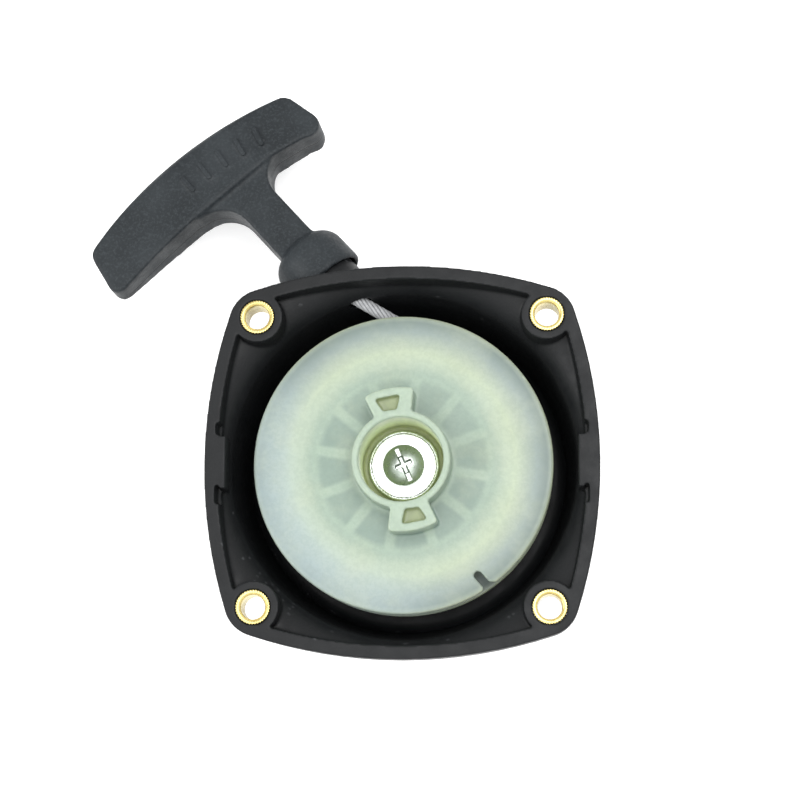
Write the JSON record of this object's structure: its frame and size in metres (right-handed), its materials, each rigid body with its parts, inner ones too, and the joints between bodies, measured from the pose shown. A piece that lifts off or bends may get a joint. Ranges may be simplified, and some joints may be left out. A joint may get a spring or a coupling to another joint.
{
  "type": "recoil starter",
  "caption": "Pull-rope recoil starter: square flanged bowl housing, rope reel on a spring, and a T handle on a rope.",
  "frame": {"origin": "centre of the four mounting holes, on the flange's mating face", "axes": "+Z out of the mating face towards the engine, +X and +Y along the sides of the hole square; the handle leaves towards -X +Y"},
  "size_m": [0.1406, 0.1578, 0.039],
  "materials": {
    "black_nylon": "matte moulded",
    "handle_plastic": "matte, fine spark texture",
    "natural_nylon": "translucent satin",
    "brass": "bright machined, knurled",
    "zinc_steel": "bright zinc plated",
    "spring_steel": "oiled blued strip",
    "rope": "braided nylon"
  },
  "bodies": {
    "housing": {"housing": "black_nylon", "flange_bush_1": "brass", "flange_bush_2": "brass", "flange_bush_3": "brass", "flange_bush_4": "brass", "post_insert": "brass", "rope_eyelet": "zinc_steel", "spring_case": "zinc_steel", "recoil_spring": "spring_steel", "spring_cover": "zinc_steel", "thrust_washer": "zinc_steel", "retaining_washer": "zinc_steel", "centre_screw": "zinc_steel", "rope_run": "rope"},
    "reel": {"reel": "natural_nylon", "reel_hub": "natural_nylon", "rope_winding": "rope", "reel_knot": "rope"},
    "rope_end": {"rope_tail": "rope", "handle_knot": "rope"},
    "handle": {"handle_grip": "handle_plastic", "handle_washer": "zinc_steel", "handle_plug": "handle_plastic"}
  },
  "joints": [
    {"name": "reel_spin", "type": "hinge", "parent": "housing", "child": "reel", "pos_m": [0, 0, 0], "axis": [0, 0, 1], "range_deg": [0, 1440], "stiffness_Nm_per_rad": 0.006, "springref_deg": -716.2, "deforming": ["recoil_spring"]},
    {"name": "handle_pull", "type": "slide", "parent": "housing", "child": "rope_end", "axis": [-0.6666, 0.7403, -0.0872], "range_m": [0, 0.8319]},
    {"name": "handle_swivel", "type": "hinge", "parent": "rope_end", "child": "handle", "pos_m": [-0.01972, 0.05047, -0.0138], "axis": [-0.6666, 0.7403, -0.0872], "continuous": true}
  ],
  "couplings": [
    {"joint": "handle_pull", "follows": "reel_spin", "m_per_rad": 0.0331}
  ]
}
